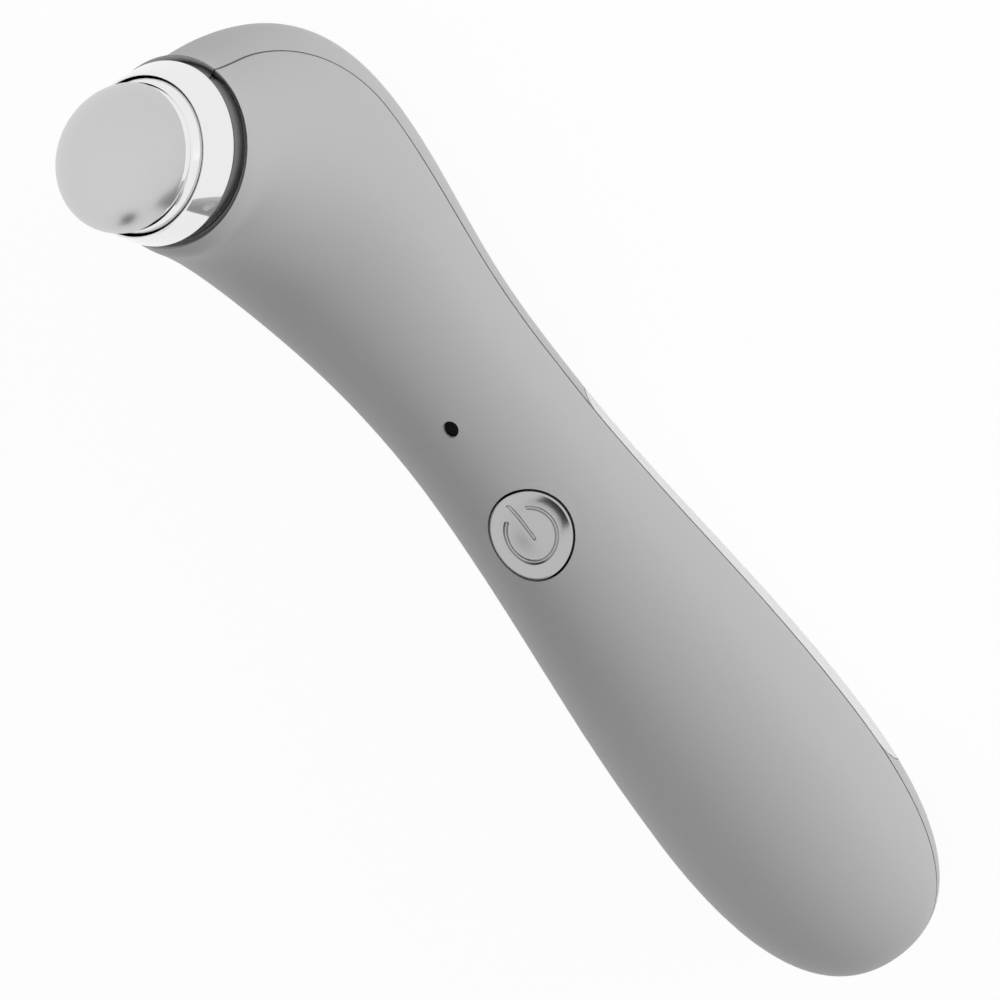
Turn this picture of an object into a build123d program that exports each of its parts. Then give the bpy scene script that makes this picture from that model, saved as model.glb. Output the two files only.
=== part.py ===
from build123d import *
from math import cos, pi, radians, sin, sqrt
import os

# Cooling facial massager, lying on its back.
# +X runs from the handle's end to the head, +Z is the button side, Y is across.
# The origin is under the middle of the body, on the surface that it lies on.
# Sizes are in millimetres. "Up" is measured from the handle's spine, which is level.

# Housing, outside
BODY_LENGTH = 167.3
BUTTON_FROM_END = 80.7
BULGE_FROM_END = 33.0
WAIST_FROM_END = 98.0
BULGE_HALF_WIDTH = 18.4
WAIST_HALF_WIDTH = 14.3
FLATNESS = 0.80
END_FULLNESS = 0.664

# Head: each station has a front point and a rear point, given as the distance back from the
# head's end and the height above the spine, and a half width across
NECK_STATIONS = (
    ((52.2, 12.8), (56.2, -10.9), 15.1),
    ((38.9, 16.8), (33.6, -13.5), 17.8),
    ((31.3, 24.2), (9.1, -12.1), 18.6),
    ((28.6, 30.3), (1.0, 6.0), 16.2),
)
MOUTH_BACK = 13.2
MOUTH_UP = 28.9
MOUTH_TILT = 22.8
MOUTH_RADIUS = 14.2

# Housing, walls and joints
WALL = 1.8
PARTING_RISE = 3.4
PARTING_TURN_BACK = 10.2
PARTING_END_BACK = 7.2
PARTING_TURN_RADIUS = 12.0
PARTING_BEND_RADIUS = 120.0

# Battery cover
COVER_START_FROM_END = 23.0
COVER_LENGTH = 70.0
COVER_WALL = 1.4
COVER_GAP = 0.15
COVER_CORNER = 4.0
COVER_UNDERCUT = 0.2
SKIN_WALL = 1.2
SKIN_OVERLAP = 1.5

# Cells, size AAA, and their bay
CELL_RADIUS = 5.25
CELL_LENGTH = 43.3
CELL_NIPPLE_RADIUS = 1.9
CELL_NIPPLE = 1.2
CELL_GAP = 0.5
CELL_DROP = 4.0
BAY_CLEARANCE = 0.3
BAY_WALL = 1.2
BAY_BEHIND_BUTTON = 6.6
CONTACT_SIDE = 8.0
CONTACT_THICKNESS = 0.4
SPRING_LENGTH = 3.0
SPRING_WIRE = 0.3
SPRING_TURNS = 3
SPRING_RADIUS = 2.6
SPRING_GAP = 0.05

# Power button
BUTTON_RADIUS = 6.65
BUTTON_CLEARANCE = 0.15
BUTTON_PROUD = 0.1
BUTTON_SKIRT = 3.6
BUTTON_WALL = 1.2
BUTTON_ROOF = 2.05
BUTTON_STEM_RADIUS = 2.2
BUTTON_TAB = 1.3
BUTTON_TAB_WIDTH = 4.0
BUTTON_TAB_THICKNESS = 1.0
BUTTON_TRAVEL = 0.4
BUTTON_TAB_DROP = 2.4

# Circuit board and what is on it
BOARD_LENGTH = 36.0
BOARD_WIDTH = 13.0
BOARD_THICKNESS = 1.2
BOARD_UP = 3.3
BOARD_AHEAD = 13.0
POST_RADIUS = 2.0
POSTS_AHEAD = (11.5, 28.5)
BOARD_SCREW_LENGTH = 4.5
SWITCH_SIDE = 6.0
SWITCH_HEIGHT = 2.6
PLUNGER_RADIUS = 1.7
PLUNGER_CLEARANCE = 0.08
PLUNGER_GAP = 0.05
LED_AHEAD = 18.9
LED_HOLE_RADIUS = 1.25
LED_SIDE = 1.6
LED_HEIGHT = 0.8
GUIDE_CLEARANCE = 0.08
GUIDE_RECESS = 0.8
CHIP_AHEAD = 23.0
CHIP_LENGTH = 5.0
CHIP_WIDTH = 4.0
CHIP_HEIGHT = 1.5
CHOKE_AHEAD = 5.8
CHOKE_SIDE = 4.2
CHOKE_RADIUS = 1.8
CHOKE_HEIGHT = 2.2
CAPACITOR_RADIUS = 1.5
CAPACITOR_HEIGHT = 2.8

# Screws
SCREW_RADIUS = 0.85
SCREW_HEAD_RADIUS = 1.6
SCREW_HEAD_HEIGHT = 1.0
SCREW_HOLE_CLEARANCE = 0.12
BOSS_RADIUS = 2.2
SHELL_SCREW_SIDE = 9.3
SHELL_SCREW_AHEAD = 2.0
SHELL_SCREW_REACH = 5.0
SHELL_SCREW_HEAD_DROP = 5.0

# Head parts, stacked along the mouth's axis
COLLAR_RADIUS = 13.1
COLLAR_FRONT_RADIUS = 11.7
COLLAR_HEIGHT = 3.4
COLLAR_GAP = 0.35
RECESS_DEPTH = 2.2
TIP_RADIUS = 10.9
TIP_RIM_RADIUS = 10.4
TIP_RIM_HEIGHT = 5.2
TIP_STEP = 0.2
TIP_HEIGHT = 14.1
TIP_LEAN = 8.0
TIP_SHOULDER = 6.8
TIP_CROWN = 5.6
TIP_CLEARANCE = 0.3
TIP_FLANGE = 1.2
SEAL_THICKNESS = 0.8
FRAME_RADIUS = 12.2
FRAME_WALL = 1.7
FRAME_DEPTH = 9.0
FRAME_CLEARANCE = 0.15
COOLER_SIDE = 12.0
COOLER_PLATE = 0.8
PELLET_HEIGHT = 1.2
PELLET_SIDE = 1.2
PELLET_ROWS = 5
PAD_THICKNESS = 0.5
SINK_FLANGE = 1.5
SINK_FINS = 6
FIN_THICKNESS = 1.2
FIN_LENGTH = 11.0

# Vibration motor, in the neck
MOTOR_RADIUS = 3.5
MOTOR_LENGTH = 14.0
MOTOR_AHEAD = 31.0
MOTOR_UP = -3.5
SHAFT_RADIUS = 0.5
SHAFT_LENGTH = 5.4
SHAFT_INSIDE = 4.0
RUNNING_CLEARANCE = 0.05
WEIGHT_RADIUS = 3.0
WEIGHT_LENGTH = 4.0
WEIGHT_GAP = 0.6
CRADLE_LENGTH = 7.0
CRADLE_WALL = 1.2

# Places that follow from the sizes
HANDLE_END_X = -BODY_LENGTH / 2
HEAD_END_X = BODY_LENGTH / 2
BUTTON_X = HANDLE_END_X + BUTTON_FROM_END
BULGE_X = HANDLE_END_X + BULGE_FROM_END
WAIST_X = HANDLE_END_X + WAIST_FROM_END
SPINE_Z = BULGE_HALF_WIDTH * FLATNESS
COVER_START_X = HANDLE_END_X + COVER_START_FROM_END
COVER_END_X = COVER_START_X + COVER_LENGTH
FAR = BODY_LENGTH


def handle_half_width(x):
    """Half width of the handle, an even swell between the waist and the bulge."""
    share = (x - BULGE_X) / (WAIST_X - BULGE_X)
    return WAIST_HALF_WIDTH + (BULGE_HALF_WIDTH - WAIST_HALF_WIDTH) * (1 + cos(pi * share)) / 2


def section(front, rear):
    """Plane across the body between a front point and a rear point, and its half depth."""
    (front_x, front_z), (rear_x, rear_z) = front, rear
    middle = ((front_x + rear_x) / 2, 0, (front_z + rear_z) / 2)
    depth = Vector(front_x - rear_x, 0, front_z - rear_z)
    plane = Plane(origin=middle, x_dir=-depth, z_dir=Vector(0, 1, 0).cross(depth))
    return plane, depth.length / 2


mouth = Plane(
    origin=(HEAD_END_X - MOUTH_BACK, 0, SPINE_Z + MOUTH_UP),
    x_dir=(cos(radians(MOUTH_TILT)), 0, -sin(radians(MOUTH_TILT))),
    z_dir=(sin(radians(MOUTH_TILT)), 0, cos(radians(MOUTH_TILT))),
)


def body_form(inset):
    """The housing's outer form, drawn in by the inset all round and open to the mouth."""
    end_length = BULGE_FROM_END - inset
    end_radius = BULGE_HALF_WIDTH - inset
    end_depth = SPINE_Z - inset
    with BuildPart() as end:
        with BuildSketch(Plane.XZ):
            with BuildLine():
                Bezier(
                    (0, -end_radius),
                    (-END_FULLNESS * end_length, -end_radius),
                    (-end_length, -END_FULLNESS * end_radius),
                    (-end_length, 0),
                )
                Polyline((-end_length, 0), (0, 0), (0, -end_radius))
            make_face()
        revolve(axis=Axis.X)
        scale(by=(1, 1, end_depth / end_radius))
    with BuildPart() as form:
        add(end.part.moved(Location((BULGE_X, 0, SPINE_Z))))
        handle_steps = 5
        for step in range(handle_steps + 1):
            x = BULGE_X + (WAIST_X - BULGE_X) * step / handle_steps
            across = handle_half_width(x)
            with BuildSketch(Plane(origin=(x, 0, SPINE_Z), x_dir=(0, 0, -1), z_dir=(1, 0, 0))):
                Ellipse(across * FLATNESS - inset, across - inset)
        for front, rear, across in NECK_STATIONS:
            plane, depth = section(
                (HEAD_END_X - front[0], SPINE_Z + front[1]),
                (HEAD_END_X - rear[0], SPINE_Z + rear[1]),
            )
            with BuildSketch(plane):
                Ellipse(depth - inset, across - inset)
        with BuildSketch(mouth):
            Circle(MOUTH_RADIUS - inset)
        loft()
    return form.part


def rear_side(shift):
    """Everything behind the parting line, which is moved towards the front by the shift."""
    with BuildPart() as side:
        with BuildSketch(Plane.XZ.offset(-FAR / 2)):
            with BuildLine():
                seam = FilletPolyline(
                    (-FAR, SPINE_Z + shift),
                    (WAIST_X, SPINE_Z + shift),
                    (HEAD_END_X - PARTING_TURN_BACK - shift, SPINE_Z + PARTING_RISE + shift),
                    (HEAD_END_X - PARTING_END_BACK - shift, SPINE_Z + FAR / 4),
                    radius=[PARTING_BEND_RADIUS, PARTING_TURN_RADIUS],
                )
                Polyline(seam @ 1, (FAR, SPINE_Z + FAR / 4), (FAR, -FAR), (-FAR, -FAR), seam @ 0)
            make_face()
        extrude(amount=FAR)
    return side.part


def cover_zone(gap):
    """The part of the housing that the battery cover takes, larger by the gap all round."""
    with BuildPart() as zone:
        with BuildSketch(Plane.XZ.offset(-FAR / 2)):
            with BuildLine():
                left = COVER_START_X - gap
                right = COVER_END_X + gap
                FilletPolyline(
                    (left, -FAR), (left, SPINE_Z + gap), (right, SPINE_Z + gap), (right, -FAR),
                    radius=COVER_CORNER,
                )
                Line((right, -FAR), (left, -FAR))
            make_face()
        extrude(amount=FAR)
    return zone.part


def upright(x, y, up):
    """Level plane at a place along and across the body, at a height above the spine."""
    return Plane.XY.offset(SPINE_Z + up).move(Location((x, y, 0)))


def at_mouth(height):
    """Plane across the mouth's axis, at a height outside the mouth."""
    return mouth.offset(height)


def finish(builder, name):
    """Label a piece and write it as its own file."""
    builder.part.label = name
    export_step(builder.part, f"parts/{name}.step")


os.makedirs("parts", exist_ok=True)

outer = body_form(0)
inner = body_form(WALL)
skin_outside = body_form(COVER_WALL + COVER_UNDERCUT)
skin_inside = body_form(COVER_WALL + COVER_UNDERCUT + SKIN_WALL)
behind_parting = rear_side(0)
ceiling = BULGE_HALF_WIDTH * FLATNESS

# Housing: one closed wall with the mouth's recess and an inner sleeve that holds the head frame
recess_radius = COLLAR_RADIUS + COLLAR_GAP
sleeve_radius = FRAME_RADIUS + FRAME_CLEARANCE
with BuildPart() as housing:
    add(outer)
    add(inner, mode=Mode.SUBTRACT)
    with BuildSketch(at_mouth(-RECESS_DEPTH)):
        Circle(recess_radius)
        Circle(sleeve_radius, mode=Mode.SUBTRACT)
    extrude(amount=RECESS_DEPTH - FRAME_DEPTH)
    with BuildSketch(at_mouth(-RECESS_DEPTH)):
        Circle(recess_radius)
    extrude(amount=RECESS_DEPTH + WALL, mode=Mode.SUBTRACT)

# Heights along the button's axis, above the spine
button_depth = handle_half_width(BUTTON_X) * FLATNESS
board_top = BOARD_UP + BOARD_THICKNESS
switch_top = board_top + SWITCH_HEIGHT
plunger_top = switch_top + PLUNGER_RADIUS / 2
stem_foot = plunger_top + PLUNGER_GAP
led_top = board_top + LED_HEIGHT

# Front shell: the button hole, the indicator hole, the screw bosses and the board's posts
boss_x = BUTTON_X + SHELL_SCREW_AHEAD
post_places = [(BUTTON_X + ahead, 0) for ahead in POSTS_AHEAD]
boss_places = [(boss_x, SHELL_SCREW_SIDE), (boss_x, -SHELL_SCREW_SIDE)]
with BuildPart() as posts:
    with BuildSketch(upright(0, 0, board_top)):
        with Locations(*post_places):
            Circle(POST_RADIUS)
    extrude(amount=ceiling - board_top)
    with BuildSketch(upright(0, 0, 0)):
        with Locations(*boss_places):
            Circle(BOSS_RADIUS)
    extrude(amount=ceiling)
    add(body_form(WALL / 2), mode=Mode.INTERSECT)
with BuildPart() as front_shell:
    add(housing.part)
    add(behind_parting, mode=Mode.SUBTRACT)
    add(posts.part)
    with BuildSketch(upright(BUTTON_X, 0, board_top)):
        Circle(BUTTON_RADIUS + BUTTON_CLEARANCE)
    extrude(amount=ceiling, mode=Mode.SUBTRACT)
    with BuildSketch(upright(BUTTON_X + LED_AHEAD, 0, board_top)):
        Circle(LED_HOLE_RADIUS)
    extrude(amount=ceiling, mode=Mode.SUBTRACT)
    with BuildSketch(upright(0, 0, 0)):
        with Locations(*boss_places):
            Circle(SCREW_RADIUS)
    extrude(amount=SHELL_SCREW_REACH, mode=Mode.SUBTRACT)
    with BuildSketch(upright(0, 0, board_top)):
        with Locations(*post_places):
            Circle(SCREW_RADIUS)
    extrude(amount=BOARD_SCREW_LENGTH - BOARD_THICKNESS, mode=Mode.SUBTRACT)

# Battery bay, open to the back under the cover
bay_length = SPRING_LENGTH + 2 * CONTACT_THICKNESS + CELL_LENGTH + CELL_NIPPLE + SPRING_GAP
bay_end_x = BUTTON_X - BAY_BEHIND_BUTTON
bay_start_x = bay_end_x - bay_length
bay_middle_x = (bay_start_x + bay_end_x) / 2
cell_side = CELL_RADIUS + CELL_GAP / 2
bay_half_width = cell_side + CELL_RADIUS + BAY_CLEARANCE
bay_top = CELL_RADIUS - CELL_DROP + BAY_CLEARANCE
with BuildPart() as bay_block:
    with BuildSketch(upright(bay_middle_x, 0, bay_top + BAY_WALL)):
        Rectangle(bay_length + 2 * BAY_WALL, 2 * (bay_half_width + BAY_WALL))
    extrude(amount=-FAR)
    add(skin_outside, mode=Mode.INTERSECT)
with BuildPart() as skin:
    add(skin_outside)
    add(skin_inside, mode=Mode.SUBTRACT)
    add(cover_zone(SKIN_OVERLAP), mode=Mode.INTERSECT)
    add(behind_parting, mode=Mode.INTERSECT)
with BuildPart() as pillars:
    with BuildSketch(upright(0, 0, 0)):
        with Locations(*boss_places):
            Circle(BOSS_RADIUS)
    extrude(amount=-ceiling)
    add(skin_outside, mode=Mode.INTERSECT)
with BuildPart() as rear_shell:
    add(housing.part)
    add(behind_parting, mode=Mode.INTERSECT)
    add(cover_zone(0), mode=Mode.SUBTRACT)
    add(skin.part)
    add(bay_block.part)
    add(pillars.part)
    with BuildSketch(upright(bay_middle_x, 0, bay_top)):
        Rectangle(bay_length, 2 * bay_half_width)
    extrude(amount=-FAR, mode=Mode.SUBTRACT)
    with BuildSketch(upright(0, 0, 0)):
        with Locations(*boss_places):
            Circle(SCREW_RADIUS + SCREW_HOLE_CLEARANCE)
    extrude(amount=-ceiling, mode=Mode.SUBTRACT)
    with BuildSketch(upright(0, 0, -SHELL_SCREW_HEAD_DROP)):
        with Locations(*boss_places):
            Circle(SCREW_HEAD_RADIUS + SCREW_HOLE_CLEARANCE)
    extrude(amount=-ceiling, mode=Mode.SUBTRACT)

# Battery cover: a skin over the back of the handle with a gap all round
with BuildPart() as battery_cover:
    add(outer)
    add(body_form(COVER_WALL), mode=Mode.SUBTRACT)
    add(cover_zone(-COVER_GAP), mode=Mode.INTERSECT)

# Shell screws, driven from under the cover into the front shell's bosses
with BuildPart() as shell_screws:
    with BuildSketch(upright(0, 0, -SHELL_SCREW_HEAD_DROP - SCREW_HEAD_HEIGHT)):
        with Locations(*boss_places):
            Circle(SCREW_HEAD_RADIUS)
    extrude(amount=SCREW_HEAD_HEIGHT)
    with BuildSketch(upright(0, 0, -SHELL_SCREW_HEAD_DROP)):
        with Locations(*boss_places):
            Circle(SCREW_RADIUS)
    extrude(amount=SHELL_SCREW_HEAD_DROP + SHELL_SCREW_REACH)

# Cells: a can with its contact nipple, one facing each way
def cell(side):
    """One cell with its nipple towards the head when the side is +1, or the end when -1."""
    can_start = (CONTACT_THICKNESS + SPRING_LENGTH + SPRING_GAP)
    base_x = bay_start_x + can_start if side > 0 else bay_end_x - can_start
    axis_plane = Plane(
        origin=(base_x, side * cell_side, SPINE_Z - CELL_DROP), x_dir=(0, 1, 0), z_dir=(side, 0, 0)
    )
    with BuildPart() as can:
        with BuildSketch(axis_plane):
            Circle(CELL_RADIUS)
        extrude(amount=CELL_LENGTH)
        fillet(can.edges().filter_by(GeomType.CIRCLE), CELL_NIPPLE / 3)
        with BuildSketch(axis_plane.offset(CELL_LENGTH)):
            Circle(CELL_NIPPLE_RADIUS)
        extrude(amount=CELL_NIPPLE)
    return can


battery_left = cell(1)
battery_right = cell(-1)

# Contacts: a flat plate for each nipple and a plate with a coil spring for each base
with BuildPart() as contact_plates:
    for side in (1, -1):
        for wall_x, inward in ((bay_start_x, 1), (bay_end_x, -1)):
            plate_plane = Plane(
                origin=(wall_x, side * cell_side, SPINE_Z - CELL_DROP),
                x_dir=(0, 1, 0), z_dir=(inward, 0, 0),
            )
            with BuildSketch(plate_plane):
                RectangleRounded(CONTACT_SIDE, CONTACT_SIDE, CELL_GAP)
            extrude(amount=CONTACT_THICKNESS)


def coil(side):
    """A coil spring between its plate and a cell's base."""
    wall_x, inward = (bay_start_x, 1) if side > 0 else (bay_end_x, -1)
    foot = wall_x + inward * (CONTACT_THICKNESS + SPRING_WIRE)
    path = Helix(
        pitch=(SPRING_LENGTH - 2 * SPRING_WIRE) / SPRING_TURNS,
        height=SPRING_LENGTH - 2 * SPRING_WIRE,
        radius=SPRING_RADIUS,
        center=(foot, side * cell_side, SPINE_Z - CELL_DROP),
        direction=(inward, 0, 0),
        mode=Mode.PRIVATE,
    )
    with BuildPart() as wire:
        with BuildSketch(Plane(path @ 0, z_dir=path % 0)):
            RegularPolygon(SPRING_WIRE, 6)
        sweep(path=path, is_frenet=True)
    return wire.part


with BuildPart() as contact_springs:
    add(coil(1))
    add(coil(-1))

# Power button: its face follows the housing, a stem under it presses the switch
with BuildPart() as power_button:
    with BuildSketch(upright(BUTTON_X, 0, button_depth - BUTTON_SKIRT)):
        Circle(BUTTON_RADIUS)
    extrude(amount=ceiling)
    add(body_form(-BUTTON_PROUD), mode=Mode.INTERSECT)
    with BuildSketch(upright(BUTTON_X, 0, button_depth - BUTTON_TAB_DROP - BUTTON_TAB_THICKNESS)):
        Rectangle(2 * (BUTTON_RADIUS + BUTTON_TAB), BUTTON_TAB_WIDTH)
    extrude(amount=BUTTON_TAB_THICKNESS)
    with BuildSketch(upright(BUTTON_X, 0, button_depth - BUTTON_SKIRT)):
        Circle(BUTTON_RADIUS - BUTTON_WALL)
    extrude(amount=BUTTON_SKIRT - BUTTON_ROOF, mode=Mode.SUBTRACT)
    with BuildSketch(upright(BUTTON_X, 0, stem_foot)):
        Circle(BUTTON_STEM_RADIUS)
    extrude(amount=button_depth - stem_foot - BUTTON_ROOF / 2)

# Circuit board and its parts
board_x = BUTTON_X + BOARD_AHEAD
with BuildPart() as circuit_board:
    with BuildSketch(upright(board_x, 0, BOARD_UP)):
        RectangleRounded(BOARD_LENGTH, BOARD_WIDTH, BOARD_THICKNESS)
    extrude(amount=BOARD_THICKNESS)
    with BuildSketch(upright(0, 0, BOARD_UP)):
        with Locations(*post_places):
            Circle(SCREW_RADIUS + SCREW_HOLE_CLEARANCE)
    extrude(amount=BOARD_THICKNESS, mode=Mode.SUBTRACT)
with BuildPart() as board_screws:
    with BuildSketch(upright(0, 0, BOARD_UP - SCREW_HEAD_HEIGHT)):
        with Locations(*post_places):
            Circle(SCREW_HEAD_RADIUS)
    extrude(amount=SCREW_HEAD_HEIGHT)
    with BuildSketch(upright(0, 0, BOARD_UP)):
        with Locations(*post_places):
            Circle(SCREW_RADIUS)
    extrude(amount=BOARD_SCREW_LENGTH)
plunger_bore = PLUNGER_RADIUS + PLUNGER_CLEARANCE
plunger_foot = switch_top - 2 * BUTTON_TRAVEL
with BuildPart() as tactile_switch:
    with BuildSketch(upright(BUTTON_X, 0, board_top)):
        RectangleRounded(SWITCH_SIDE, SWITCH_SIDE, BUTTON_TRAVEL)
    extrude(amount=SWITCH_HEIGHT)
    with BuildSketch(upright(BUTTON_X, 0, plunger_foot - BUTTON_TRAVEL - PLUNGER_CLEARANCE)):
        Circle(plunger_bore)
    extrude(amount=SWITCH_HEIGHT, mode=Mode.SUBTRACT)
with BuildPart() as switch_plunger:
    with BuildSketch(upright(BUTTON_X, 0, plunger_foot)):
        Circle(PLUNGER_RADIUS)
    extrude(amount=plunger_top - plunger_foot)
led_x = BUTTON_X + LED_AHEAD
with BuildPart() as indicator_led:
    with BuildSketch(upright(led_x, 0, board_top)):
        Rectangle(2 * LED_SIDE, LED_SIDE)
    extrude(amount=LED_HEIGHT)
guide_top = handle_half_width(led_x) * FLATNESS - GUIDE_RECESS
guide_flange = handle_half_width(led_x) * FLATNESS - 2 * WALL
with BuildPart() as light_guide:
    with BuildSketch(upright(led_x, 0, led_top + GUIDE_CLEARANCE)):
        Circle(LED_HOLE_RADIUS - GUIDE_CLEARANCE)
    extrude(amount=guide_top - led_top - GUIDE_CLEARANCE)
    with BuildSketch(upright(led_x, 0, guide_flange - WALL / 2)):
        Circle(LED_HOLE_RADIUS + WALL / 2)
    extrude(amount=WALL)
with BuildPart() as control_chip:
    with BuildSketch(upright(BUTTON_X + CHIP_AHEAD, -LED_SIDE / 2, board_top)):
        Rectangle(CHIP_LENGTH, CHIP_WIDTH)
    extrude(amount=CHIP_HEIGHT)
    chamfer(control_chip.faces().sort_by(Axis.Z)[-1].edges(), CHIP_HEIGHT / 8)
with BuildPart() as choke:
    with BuildSketch(upright(BUTTON_X + CHOKE_AHEAD, CHOKE_SIDE, board_top)):
        Circle(CHOKE_RADIUS)
    extrude(amount=CHOKE_HEIGHT)
    fillet(choke.faces().sort_by(Axis.Z)[-1].edges(), CHOKE_HEIGHT / 8)
with BuildPart() as capacitor:
    with BuildSketch(upright(BUTTON_X + CHOKE_AHEAD, -CHOKE_SIDE, board_top)):
        Circle(CAPACITOR_RADIUS)
    extrude(amount=CAPACITOR_HEIGHT)
    fillet(capacitor.faces().sort_by(Axis.Z)[-1].edges(), CAPACITOR_HEIGHT / 12)

# Vibration motor with its off-centre weight, in a soft cradle on the rear shell
motor_x = BUTTON_X + MOTOR_AHEAD
motor_start = Plane(origin=(motor_x, 0, SPINE_Z + MOTOR_UP), x_dir=(0, 1, 0), z_dir=(1, 0, 0))
with BuildPart() as vibration_motor:
    with BuildSketch(motor_start):
        Circle(MOTOR_RADIUS)
    extrude(amount=MOTOR_LENGTH)
    fillet(vibration_motor.edges().filter_by(GeomType.CIRCLE), MOTOR_RADIUS / 8)
    with BuildSketch(motor_start.offset(MOTOR_LENGTH - SHAFT_INSIDE)):
        Circle(SHAFT_RADIUS + RUNNING_CLEARANCE)
    extrude(amount=SHAFT_INSIDE, mode=Mode.SUBTRACT)
with BuildPart() as motor_shaft:
    with BuildSketch(motor_start.offset(MOTOR_LENGTH - SHAFT_INSIDE + RUNNING_CLEARANCE)):
        Circle(SHAFT_RADIUS)
    extrude(amount=SHAFT_INSIDE - RUNNING_CLEARANCE + SHAFT_LENGTH)
with BuildPart() as eccentric_weight:
    with BuildSketch(motor_start.offset(MOTOR_LENGTH + WEIGHT_GAP)):
        Circle(WEIGHT_RADIUS)
        with Locations((0, WEIGHT_RADIUS + SHAFT_RADIUS + WEIGHT_GAP)):
            Rectangle(2 * WEIGHT_RADIUS, 2 * WEIGHT_RADIUS, mode=Mode.SUBTRACT)
        Circle(SHAFT_RADIUS, mode=Mode.SUBTRACT)
    extrude(amount=WEIGHT_LENGTH)
with BuildPart() as motor_cradle:
    with BuildSketch(upright(motor_x + MOTOR_LENGTH / 2, 0, MOTOR_UP)):
        Rectangle(CRADLE_LENGTH, 2 * (MOTOR_RADIUS + CRADLE_WALL))
    extrude(amount=-ceiling)
    add(inner, mode=Mode.INTERSECT)
    with BuildSketch(motor_start):
        Circle(MOTOR_RADIUS)
    extrude(amount=MOTOR_LENGTH, mode=Mode.SUBTRACT)

# Collar: a tapered ring with a skirt in the mouth's recess and a bore round the tip
with BuildPart() as collar:
    with BuildSketch(at_mouth(-RECESS_DEPTH)):
        Circle(COLLAR_RADIUS)
    extrude(amount=RECESS_DEPTH - COLLAR_GAP)
    with BuildSketch(at_mouth(-COLLAR_GAP)):
        Circle(COLLAR_RADIUS)
    with BuildSketch(at_mouth(COLLAR_HEIGHT)):
        Circle(COLLAR_FRONT_RADIUS)
    loft()
    with BuildSketch(at_mouth(-RECESS_DEPTH)):
        Circle(TIP_RADIUS + TIP_CLEARANCE)
    extrude(amount=RECESS_DEPTH + COLLAR_HEIGHT, mode=Mode.SUBTRACT)
    with BuildSketch(at_mouth(-RECESS_DEPTH)):
        Circle(FRAME_RADIUS)
    extrude(amount=SEAL_THICKNESS, mode=Mode.SUBTRACT)

# Treatment tip: a leaning dome on a short polished band, with a flange under the collar
lean = mouth.offset(TIP_RIM_HEIGHT).rotated((0, -TIP_LEAN, 0))
with BuildPart() as dome:
    with BuildSketch(Plane(lean.origin, x_dir=lean.x_dir, z_dir=-lean.y_dir)):
        with BuildLine():
            profile = Bezier(
                (0, TIP_HEIGHT), (TIP_CROWN, TIP_HEIGHT),
                (TIP_RIM_RADIUS, TIP_SHOULDER), (TIP_RIM_RADIUS, 0),
            )
            Polyline(profile @ 1, (TIP_RIM_RADIUS, -TIP_RIM_HEIGHT), (0, -TIP_RIM_HEIGHT), profile @ 0)
        make_face()
    revolve(axis=Axis(lean.origin, lean.z_dir))
    with BuildSketch(at_mouth(TIP_RIM_HEIGHT)):
        Circle(FAR)
    extrude(amount=-FAR, mode=Mode.SUBTRACT)
seal_bottom = -RECESS_DEPTH
flange_bottom = seal_bottom - TIP_FLANGE
flange_radius = FRAME_RADIUS - FRAME_WALL / 2 - FRAME_CLEARANCE
with BuildPart() as treatment_tip:
    with BuildSketch(Plane(mouth.origin, x_dir=mouth.x_dir, z_dir=-mouth.y_dir)):
        with BuildLine():
            Polyline(
                (0, flange_bottom), (flange_radius, flange_bottom), (flange_radius, seal_bottom),
                (TIP_RADIUS, seal_bottom), (TIP_RADIUS, COLLAR_HEIGHT),
                (TIP_RIM_RADIUS + TIP_STEP, TIP_RIM_HEIGHT), (0, TIP_RIM_HEIGHT), close=True,
            )
        make_face()
    revolve(axis=Axis(mouth.origin, mouth.z_dir))
    add(dome.part)
with BuildPart() as head_seal:
    with BuildSketch(at_mouth(seal_bottom)):
        Circle(FRAME_RADIUS)
        Circle(TIP_RADIUS + TIP_CLEARANCE / 4, mode=Mode.SUBTRACT)
    extrude(amount=SEAL_THICKNESS)

# Head frame: a moulded ring in the housing's sleeve that carries tip, cooler and heat sink
frame_bore = FRAME_RADIUS - FRAME_WALL
with BuildPart() as head_frame:
    with BuildSketch(at_mouth(seal_bottom)):
        Circle(FRAME_RADIUS)
        Circle(frame_bore, mode=Mode.SUBTRACT)
    extrude(amount=-FRAME_DEPTH - seal_bottom)
    with BuildSketch(at_mouth(seal_bottom)):
        Circle(FRAME_RADIUS - FRAME_WALL / 2)
    extrude(amount=-TIP_FLANGE, mode=Mode.SUBTRACT)

# Cooler: two ceramic plates with a grid of semiconductor pellets between them
hot_side = flange_bottom - 2 * COOLER_PLATE - PELLET_HEIGHT
pellet_pitch = (COOLER_SIDE - PELLET_SIDE) / PELLET_ROWS
with BuildPart() as cold_plate:
    with BuildSketch(at_mouth(flange_bottom)):
        Rectangle(COOLER_SIDE, COOLER_SIDE)
    extrude(amount=-COOLER_PLATE)
with BuildPart() as semiconductor_pellets:
    with BuildSketch(at_mouth(flange_bottom - COOLER_PLATE)):
        with GridLocations(pellet_pitch, pellet_pitch, PELLET_ROWS, PELLET_ROWS):
            Rectangle(PELLET_SIDE, PELLET_SIDE)
    extrude(amount=-PELLET_HEIGHT)
with BuildPart() as hot_plate:
    with BuildSketch(at_mouth(hot_side)):
        Rectangle(COOLER_SIDE, COOLER_SIDE)
    extrude(amount=COOLER_PLATE)
with BuildPart() as thermal_pad:
    with BuildSketch(at_mouth(hot_side)):
        Rectangle(COOLER_SIDE, COOLER_SIDE)
    extrude(amount=-PAD_THICKNESS)

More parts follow.
